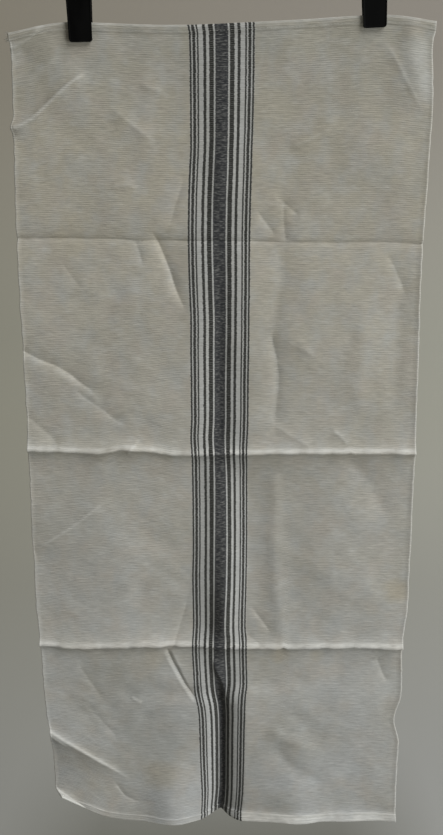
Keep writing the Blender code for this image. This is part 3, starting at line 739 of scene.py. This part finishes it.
def thickShare(flat, down, puckers):
    # 0 on the single cloth, 1 on the thickest of the hem; the selvedges are a little thicker too
    end = 0 if down < 0.5 * towel["length"] else 1
    fromEnd = min(down, towel["length"] - down) + hemPucker["edge"] * puckers[end + 2]
    share = float(np.interp(fromEnd, column(hemProfile, "at"), column(hemProfile, "share")))
    share *= 1.0 + hemPucker["height"] * puckers[end]
    fromSide = towel["half"] - abs(flat)
    if fromSide < selvedge["width"]:
        share = max(share, selvedge["share"] * (1.0 - (1.0 - fromSide / selvedge["width"]) ** 4))
    return min(share, 1.0)


def hemPuckers(flats):
    return np.array([wander(flats, hemPucker["spacing"], seed) for seed in (61, 62, 63, 64)])


# in the hems the turned flap's stripes lean a little off those behind them
hemLean = dict(topLeft=0.0017, topRight=0.0005, bottomLeft=0.0008, bottomRight=-0.0008)


def hemSlant(flat, down):
    fromEnd = min(down, towel["length"] - down)
    if fromEnd > towel["hem"]:
        return 0.0
    end = "top" if down < towel["hem"] else "bottom"
    share = min(max(0.5 + flat / (2.0 * towel["band"]), 0.0), 1.0)
    lean = hemLean[end + "Left"] * (1.0 - share) + hemLean[end + "Right"] * share
    return lean * (1.0 - fromEnd / towel["hem"])


def cutFiner(marks, parts):
    return np.interp(np.arange((len(marks) - 1) * parts + 1) / parts, np.arange(len(marks)), marks)


def distanceFromFolds(flatX, flatDown):
    nearest = np.full_like(flatX, 1.0)
    for row in folds:
        if min(row["over"], row["under"]) < foldLook["narrow"]:
            u, v = foldPlace(flatX, flatDown, row["path"])
            past = foldLook["pastEnds"]
            nearest = np.minimum(nearest, np.where((u > -past) & (u < 1.0 + past), np.abs(v), 1.0))
    curlLine = ((curl["x1"], curl["down1"]), (curl["x2"], curl["down2"]))
    fromCurl = np.abs(foldPlace(flatX, flatDown, curlLine)[1])
    rightOfCurl = np.maximum(flatX - curl["fineLeftOf"], 0.0)
    return np.minimum(nearest, fromCurl + curl["fineMargin"] + rightOfCurl * curl["coarser"])


def makeTowel():
    # a plain grid, with finer cells by the folds; a vertex's row and column give its place in the drape
    columns, rows = towelColumns(), towelRows()
    across, down = len(columns) - 1, len(rows) - 1
    parts = 2 ** len(fineReach)
    flats, downs = cutFiner(columns, parts), cutFiner(rows, parts)
    x, y, z, flatX, flatDown, shine = drape(flats, downs)
    fromFold = distanceFromFolds(flatX, flatDown)

    bm = bmesh.new()
    bmesh.ops.create_grid(bm, x_segments=across, y_segments=down, size=0.5)

    def cell(co):
        return round((co.x + 0.5) * across * parts), round((0.5 - co.y) * down * parts)
    for reach in fineReach:
        near = []
        for face in bm.faces:
            c, r = cell(face.calc_center_median())
            if fromFold[r, c] < reach:
                near.append(face)
        edges = list({edge for face in near for edge in face.edges})
        bmesh.ops.subdivide_edges(bm, edges=edges, cuts=1, use_grid_fill=True)

    flatMap = bm.loops.layers.uv.new("flat")
    cells = [cell(vert.co) for vert in bm.verts]
    bm.verts.index_update()
    for face in bm.faces:
        for loop in face.loops:
            c, r = cells[loop.vert.index]
            loop[flatMap].uv = (flats[c] + hemSlant(flats[c], downs[r]), -downs[r])
    for vert in bm.verts:
        c, r = cells[vert.index]
        vert.co = (x[r, c], y[r, c], z[r, c])
    bmesh.ops.recalc_face_normals(bm, faces=bm.faces)
    if sum(face.normal.y for face in bm.faces) > 0:
        bmesh.ops.reverse_faces(bm, faces=bm.faces)
    cloth = finishPiece(bm, "towelCloth")
    # the painted highlights, kept per vertex for the material
    paintedHighlight = cloth.data.attributes.new("paintedHighlight", "FLOAT", "POINT")
    paintedHighlight.data.foreach_set("value", [min(max(shine[r, c], 0.0), 1.0) for c, r in cells])
    group = cloth.vertex_groups.new(name="thick")
    puckers = hemPuckers(flats)
    for index, (c, r) in enumerate(cells):
        share = thickShare(flats[c], downs[r], puckers[:, c])
        if share > 0.0:
            group.add([index], share, "REPLACE")
    solid = cloth.modifiers.new("thickness", "SOLIDIFY")
    solid.thickness = towel["hemThick"]
    solid.offset = 1.0
    solid.vertex_group = "thick"
    solid.thickness_vertex_group = towel["cloth"] / towel["hemThick"]
    print("towel grid:", across, "by", down, "with", len(cloth.data.polygons), "faces")
    return cloth


# woven cloth: off-white yarn with dark stripes, all sizes in metres on the cloth laid flat
stripes = (  # start and end from the middle outwards, the same on both sides
    (0.0000, 0.0078), (0.0097, 0.0152), (0.0187, 0.0222), (0.0276, 0.0296), (0.0313, 0.0348), (0.0364, 0.0387),
)
clothLook = dict(
    warm=(0.580, 0.537, 0.434), cool=(0.526, 0.530, 0.512), shade=(0.490, 0.462, 0.385), pale=(0.680, 0.685, 0.650),
    pink=(0.550, 0.505, 0.435), haze=(0.530, 0.545, 0.530), grey=(0.350, 0.350, 0.310), crest=(0.860, 0.850, 0.790),
    stain=(0.500, 0.420, 0.270), bandWhite=(0.600, 0.605, 0.590), darkYarn=(0.036, 0.036, 0.031),
    charcoal=(0.044, 0.045, 0.048), fleck=(0.330, 0.330, 0.310),
    coolFrom=0.15, coolFull=1.05, greyFull=0.030, greyGone=0.150, greyShare=0.42,  # down from the top hem
    edgeFrom=0.0026, edgeFull=0.0008, edgeShare=0.38, bandSoft=0.0010, bandShare=0.75,
    hemGone=0.0100, hemFull=0.0088, hemShare=0.03, hemMore=0.34, moreFrom=0.030, moreFull=0.048,
    rollFull=0.0010, rollGone=0.0034, rollShare=0.42, hemEdge=0.0086, hemEdgeWidth=0.0012, hemEdgeShare=0.10,
    seam=0.0070, seamWidth=0.0010, seamShare=0.40,
    ribPitch=0.00235, ribStray=3.8, threadPitch=0.00118, threadStray=5.0, warpPitch=0.00120, warpStray=4.0,
    stripeRange=0.050, stripeBlur=0.00020, broadStripe=0.0088, ragged=0.0024, stray=0.0005,
    ribHeight=0.00015, warpHeight=0.00006, relief=0.85, spotRagged=1.2, spotEdge=(0.4, 2.2),
    # ranges of a noise or yarn, and the shares at both ends
    hemBlotches=(0.38, 0.60, 0.45, 1.1), broadFlecks=(0.46, 0.70, 0.0, 0.62), ribFlecks=(0.50, 1.0, 0.0, 0.50),
    thinFlecks=(0.38, 0.66, 0.10, 1.0), darkTones=(0.0, 1.0, 0.80, 1.20), highlightSlubs=(0.25, 0.65, 0.5, 1.0),
)
clothNoises = dict(  # scale, stretch across and down, detail, shift across and down, roughness
    ribStray=(1, 70, 170, 2, 0, 0, 0.5),
    threadStray=(1, 60, 340, 2, 4, 9, 0.5),
    warpStray=(1, 260, 30, 1, 3, 7, 0.5),
    slub=(1, 72, 820, 2, 1, 2, 0.6),
    longSlub=(1, 42, 300, 2, 7, 3, 0.6),
    broad=(9, 1, 1, 3, 5, 1, 0.5),
    mottle=(42, 1, 1.3, 2, 2, 9, 0.5),
    haze=(34, 1.3, 0.8, 2, 11, 5, 0.5),
    blush=(26, 1, 1, 2, 9, 2, 0.5),
    ragged=(1, 110, 800, 1, 8, 4, 0.5),
    stray=(1, 4, 26, 2, 1, 6, 0.5),
    dashes=(1, 150, 640, 2, 4, 4, 0.6),
    crumple=(130, 1, 1.2, 3, 6, 3, 0.5),
)
clouds = (  # noise, where it sets in and is full, the strength there, and its colour
    ("broad", 0.42, 0.72, 0.75, "shade"), ("blush", 0.44, 0.72, 0.60, "pink"),
    ("mottle", 0.54, 0.80, 0.35, "pale"), ("haze", 0.44, 0.70, 0.40, "haze"),
)
tones = (  # noise or yarn, its range, and the brightness at both ends
    ("slub", 0.28, 0.72, 0.83, 1.16), ("longSlub", 0.28, 0.72, 0.945, 1.055),
    ("rib", 0.0, 1.0, 0.958, 1.036), ("thread", 0.0, 1.0, 0.945, 1.040),
)
reliefs = dict(thread=0.00008, slub=0.00040, longSlub=0.00028, crumple=0.00024)
# spots on the cloth laid flat: the spot rows are stains; the grey row at across 95 is a painted shadow above the
# flared bottom hem; the pale rows at across 236 and 243 are a painted highlight on the top right corner; the other
# grey and pale rows make the cloth greyer or paler there
stainsAndPaintedLight = tableOf(
    "colour across down radius strength", "colour strength",
    ("stain", 236, 738, 18, 0.45), ("stain", -98, 1035, 22, 0.35), ("stain", 84, 838, 13, 0.35),
    ("stain", 136, 838, 10, 0.30), ("stain", -190, 250, 30, 0.20), ("stain", 205, 440, 26, 0.16),
    ("stain", -95, 845, 16, 0.25), ("grey", -100, 985, 55, 0.46), ("grey", 125, 975, 60, 0.34),
    ("grey", -150, 890, 70, 0.36), ("grey", 170, 1074, 24, 0.26), ("grey", 95, 1089, 22, 0.36),
    ("grey", -205, 640, 60, 0.22), ("pale", 236, 36, 17, 0.55), ("pale", 243, 70, 18, 0.55),
    ("pale", 215, 890, 36, 0.40),
)


def stripeRamp(cloth, distance):
    ramp = cloth.add("ValToRGB")
    blur = clothLook["stripeBlur"]
    stops = [(0.0, 1.0)]
    for start, end in stripes:
        if start > 0:
            stops += [(start - blur, 0.0), (start + blur, 1.0)]
        stops += [(end - blur, 1.0), (end + blur, 0.0)]
    while len(ramp.color_ramp.elements) < len(stops):
        ramp.color_ramp.elements.new(1.0)
    for element, (position, value) in zip(ramp.color_ramp.elements, stops):
        element.position = position / clothLook["stripeRange"]
        element.color = (value, value, value, 1.0)
    cloth.feed(ramp.inputs[0], cloth.math("DIVIDE", distance, clothLook["stripeRange"]))
    grey = cloth.add("RGBToBW")
    cloth.feed(grey.inputs[0], ramp.outputs[0])
    return grey.outputs[0]


def ribs(cloth, along, pitch, stray, amount):
    # 0 to 1 across each yarn, with the yarns' places straying
    angle = cloth.timesPlus(along, 2.0 * math.pi / pitch, cloth.times(stray, amount))
    return cloth.timesPlus(cloth.math("SINE", angle), 0.5, 0.5)


def tinted(cloth, colour, tone):
    shading = cloth.add("CombineColor")
    for socket in shading.inputs[:3]:
        cloth.feed(socket, tone)
    return cloth.blend(1.0, colour, shading.outputs[0], "MULTIPLY")


def plainCloth(cloth, across, down, yarn):
    # yellower and warmer towards the top and cooler lower down, a painted light for warmer light above and cooler
    # light below; a little greyer towards the top hem; cloudy patches, stains and spots of painted shadow and painted
    # highlight; paler selvedges; hems painted paler with a pale roll and edge line, painted highlights, and a greyer
    # stitch line, a painted shade
    look, half, band = clothLook, towel["half"], towel["band"]

    def layer(base, share, colour):
        return cloth.blend(share, base, look[colour])

    def lineAt(name):
        # 1 on a line along the towel's ends, falling off beside it
        width = look[name + "Width"]
        return cloth.math("SUBTRACT", 1.0, cloth.math("ABSOLUTE", cloth.timesPlus(
            fromEnd, 1.0 / width, -look[name] / width)))

    # painted light: warm towards the top, cool lower down, for warmer light above and cooler light below
    base = layer(look["warm"], cloth.spread(down, -look["coolFrom"], -look["coolFull"]), "cool")
    base = layer(base, cloth.spread(down, -look["greyGone"], -look["greyFull"], 0.0, look["greyShare"]), "grey")
    for name, low, high, strength, colour in clouds:
        base = layer(base, cloth.spread(yarn[name], low, high, 0.0, strength), colour)
    # stains, and greyer and paler spots, some of them painted shadow and painted highlight
    for stain in stainsAndPaintedLight:
        near = [cloth.math("POWER", cloth.math("DIVIDE", away, stain["radius"]), 2.0) for away in (
            cloth.math("SUBTRACT", across, stain["across"]), cloth.math("ADD", down, stain["down"]))]
        near = cloth.timesPlus(yarn["mottle"], look["spotRagged"], cloth.math("ADD", *near))
        base = layer(base, cloth.spread(near, *look["spotEdge"], stain["strength"], 0.0), stain["colour"])
    fromMiddle = cloth.math("ABSOLUTE", across)
    base = layer(base, cloth.spread(fromMiddle, half - look["edgeFrom"], half - look["edgeFull"],
                                    0.0, look["edgeShare"]), "crest")
    base = layer(base, cloth.spread(fromMiddle, band + look["bandSoft"], band - look["bandSoft"],
                                    0.0, look["bandShare"]), "bandWhite")
    fromTop = cloth.times(down, -1.0)
    fromEnd = cloth.math("MINIMUM", fromTop, cloth.math("SUBTRACT", towel["length"], fromTop))
    # painted highlight: the hems painted paler, more on the right of the bottom hem where it flares towards the light
    lowRight = cloth.times(cloth.spread(across, look["moreFrom"], look["moreFull"]),
                           cloth.math("GREATER_THAN", fromTop, 0.5 * towel["length"]))
    blotchy = cloth.spread(yarn["mottle"], *look["hemBlotches"])
    inHem = cloth.times(cloth.spread(fromEnd, look["hemGone"], look["hemFull"]), cloth.times(
        cloth.timesPlus(lowRight, look["hemMore"], look["hemShare"]), blotchy))
    base = layer(base, inHem, "crest")
    # painted shade: a greyer line along the stitch groove
    atSeam = cloth.math("MAXIMUM", lineAt("seam"), 0.0)
    base = layer(base, cloth.times(atSeam, look["seamShare"]), "grey")
    # painted highlight: a pale line on each hem's rounded fold and along its turned edge
    atRoll = cloth.spread(fromEnd, look["rollFull"], look["rollGone"], look["rollShare"], 0.0)
    atHemEdge = cloth.times(lineAt("hemEdge"), look["hemEdgeShare"])
    return layer(base, cloth.math("MAXIMUM", atRoll, atHemEdge), "crest")


def makeClothMaterial():
    cloth = Nodes("wovenCloth", **{"Roughness": 0.92, "Specular IOR Level": 0.18,
                                   "Sheen Weight": 0.12, "Sheen Roughness": 0.6})
    flatUv = cloth.add("UVMap", uv_map="flat").outputs[0]
    across, down, _ = cloth.split(flatUv)

    # yarns: irregular ribs of doubled weft, single weft threads, and finer warp ends
    yarn = {name: cloth.noise(flatUv, scale, (wide, tall, 1.0), detail, (right, up, 0.0), rough)
            for name, (scale, wide, tall, detail, right, up, rough) in clothNoises.items()}
    for name, along in (("rib", down), ("thread", down), ("warp", across)):
        yarn[name] = ribs(cloth, along, clothLook[name + "Pitch"], yarn[name + "Stray"], clothLook[name + "Stray"])

    tone = 1.0
    for name, low, high, darkest, palest in tones:
        tone = cloth.times(tone, cloth.spread(yarn[name], low, high, darkest, palest))
    base = tinted(cloth, plainCloth(cloth, across, down, yarn), tone)

    # stripes, a little ragged where each weft crosses them
    strayed = across
    for name in ("ragged", "stray"):
        strayed = cloth.timesPlus(cloth.math("SUBTRACT", yarn[name], 0.5), clothLook[name], strayed)
    distance = cloth.math("ABSOLUTE", strayed)
    inStripe = stripeRamp(cloth, distance)
    inBroad = cloth.math("LESS_THAN", distance, clothLook["broadStripe"])
    dark = cloth.blend(inBroad, clothLook["darkYarn"], clothLook["charcoal"])
    broadFlecks = cloth.times(inBroad, cloth.spread(yarn["dashes"], *clothLook["broadFlecks"]))
    thinFlecks = cloth.times(cloth.math("SUBTRACT", 1.0, inBroad), cloth.times(
        cloth.spread(yarn["rib"], *clothLook["ribFlecks"]), cloth.spread(yarn["dashes"], *clothLook["thinFlecks"])))
    dark = cloth.blend(cloth.math("ADD", broadFlecks, thinFlecks), dark, clothLook["fleck"])
    dark = tinted(cloth, dark, cloth.spread(yarn["rib"], *clothLook["darkTones"]))
    colour = cloth.blend(inStripe, base, dark)
    # painted highlight: crests and the curled corner painted paler, off the stripes
    paintedHighlight = cloth.add("Attribute", attribute_name="paintedHighlight").outputs["Fac"]
    paintedHighlight = cloth.times(paintedHighlight, cloth.math("SUBTRACT", 1.0, inStripe))
    wearAndHighlight = cloth.times(paintedHighlight, cloth.spread(yarn["slub"], *clothLook["highlightSlubs"]))
    cloth.paint(cloth.blend(wearAndHighlight, colour, clothLook["crest"]))

    # relief of the yarns
    height = cloth.timesPlus(yarn["rib"], clothLook["ribHeight"], cloth.times(yarn["warp"], clothLook["warpHeight"]))
    for name, amount in reliefs.items():
        height = cloth.timesPlus(yarn[name], amount, height)
    cloth.bump(height, clothLook["relief"], 1.0)
    return cloth.material


# hem stitches: short off-white thread stitches along each hem
stitchLook = dict(length=0.0026, pitch=0.0042, width=0.00055, sink=0.00012, margin=0.004, tilt=9.0, seed=31,
                  besides=0.0004, colour=(0.60, 0.59, 0.53), twist=(0.50, 0.49, 0.43), twistSize=900.0)
# loose ends of yarn at the upper left corner
fray = dict(count=16, inside=0.001, down=0.0002, spacing=0.0007, length=0.0085, width=0.00060, seed=41,
            back=(-0.7, 0.2), up=(-0.8, 0.7), lengths=(0.4, 1.0), sticksOut=0.4)


def addStitches(bm):
    margin = towel["half"] - stitchLook["margin"]
    places = np.arange(-margin, margin, stitchLook["pitch"])
    turns = np.random.default_rng(stitchLook["seed"])
    step = stitchLook["besides"]
    flats = np.stack([places - step, places, places + step], axis=1).ravel()
    puckers = hemPuckers(places)
    for line in (towel["stitchLine"], towel["length"] - towel["stitchLine"]):
        points = np.stack(drape(flats, np.array([line - step, line, line + step]))[:3], axis=-1)
        for k, flat in enumerate(places):
            around = points[:, 3 * k:3 * k + 3]
            along = Vector(around[1, 2] - around[1, 0]).normalized()
            downward = Vector(around[2, 1] - around[0, 1]).normalized()
            out = downward.cross(along).normalized()
            if out.y > 0.3:
                out = -out
            side = out.cross(along)
            share = thickShare(flat, line, puckers[:, k])
            thickness = towel["cloth"] + (towel["hemThick"] - towel["cloth"]) * share
            centre = Vector(around[1, 1]) + out * (thickness - stitchLook["sink"])
            turned = Matrix((along, side, out)).transposed().to_4x4()
            tilt = Matrix.Rotation(math.radians(turns.uniform(-stitchLook["tilt"], stitchLook["tilt"])), 4, "Z")
            size = Matrix.Diagonal((stitchLook["length"] / 2, stitchLook["width"] / 2, stitchLook["width"] / 2, 1.0))
            bmesh.ops.create_uvsphere(bm, u_segments=6, v_segments=5, radius=1.0,
                                      matrix=Matrix.Translation(centre) @ turned @ tilt @ size)


def addFray(bm):
    downs = fray["down"] + fray["spacing"] * np.arange(fray["count"])
    starts = np.stack(drape(np.array([-towel["half"] + fray["inside"]]), downs)[:3], axis=-1)[:, 0]
    turns = np.random.default_rng(fray["seed"])
    for start in starts:
        away = Vector((-1.0, turns.uniform(*fray["back"]), turns.uniform(*fray["up"]))).normalized()
        length = fray["length"] * turns.uniform(*fray["lengths"])
        place = Vector(start) + Vector((0.0, -0.5 * towel["cloth"], 0.0)) + away * fray["sticksOut"] * length
        bmesh.ops.create_cone(bm, cap_ends=True, segments=5, radius1=fray["width"] / 2, radius2=fray["width"] / 4,
                              depth=length, matrix=Matrix.Translation(place)
                              @ away.to_track_quat("Z", "Y").to_matrix().to_4x4())


def makeThreadMaterial():
    thread = Nodes("sewingThread", Roughness=0.8)
    place = thread.add("TexCoord").outputs["Object"]
    twist = thread.noise(place, stitchLook["twistSize"], detail=1.0)
    thread.paint(thread.blend(twist, stitchLook["colour"], stitchLook["twist"]))
    return thread.material


def makeStitches():
    bm = bmesh.new()
    addStitches(bm)
    addFray(bm)
    bmesh.ops.recalc_face_normals(bm, faces=bm.faces)
    stitches = finishPiece(bm, "hemStitches")
    stitches.data.materials.append(makeThreadMaterial())
    return stitches


clothPiece = makeTowel()
clothPiece.data.materials.append(makeClothMaterial())
stitchPiece = makeStitches()
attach(clothPiece, "root")
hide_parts("towel")
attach(stitchPiece, "root")
print("towel done")


# clips: moulded black plastic
plasticLook = dict(colour=(0.0018, 0.0018, 0.0017), wearAndHighlight=(0.0036, 0.0036, 0.0034), roughness=0.50,
                   smoother=0.06, rougher=0.10, smearSize=60.0, grainSize=1400.0, grain=0.0001)


def makePlastic():
    plastic = Nodes("blackPlastic", **{"Specular IOR Level": 0.09})
    place = plastic.add("TexCoord").outputs["Object"]
    smear = plastic.noise(place, plasticLook["smearSize"], (1.0, 1.0, 0.3), detail=3.0)
    plastic.paint(plastic.blend(plastic.spread(smear, 0.45, 0.75), plasticLook["colour"], plasticLook["wearAndHighlight"]))
    plastic.feed(plastic.shader.inputs["Roughness"], plastic.spread(
        smear, 0.3, 0.7, plasticLook["roughness"] - plasticLook["smoother"],
        plasticLook["roughness"] + plasticLook["rougher"]))
    plastic.bump(plastic.noise(place, plasticLook["grainSize"], detail=1.0), 0.25, plasticLook["grain"])
    return plastic.material


plastic = makePlastic()
for name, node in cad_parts.items():
    if name != "towel":
        node.data.materials.clear()
        node.data.materials.append(plastic)
print("clips done")
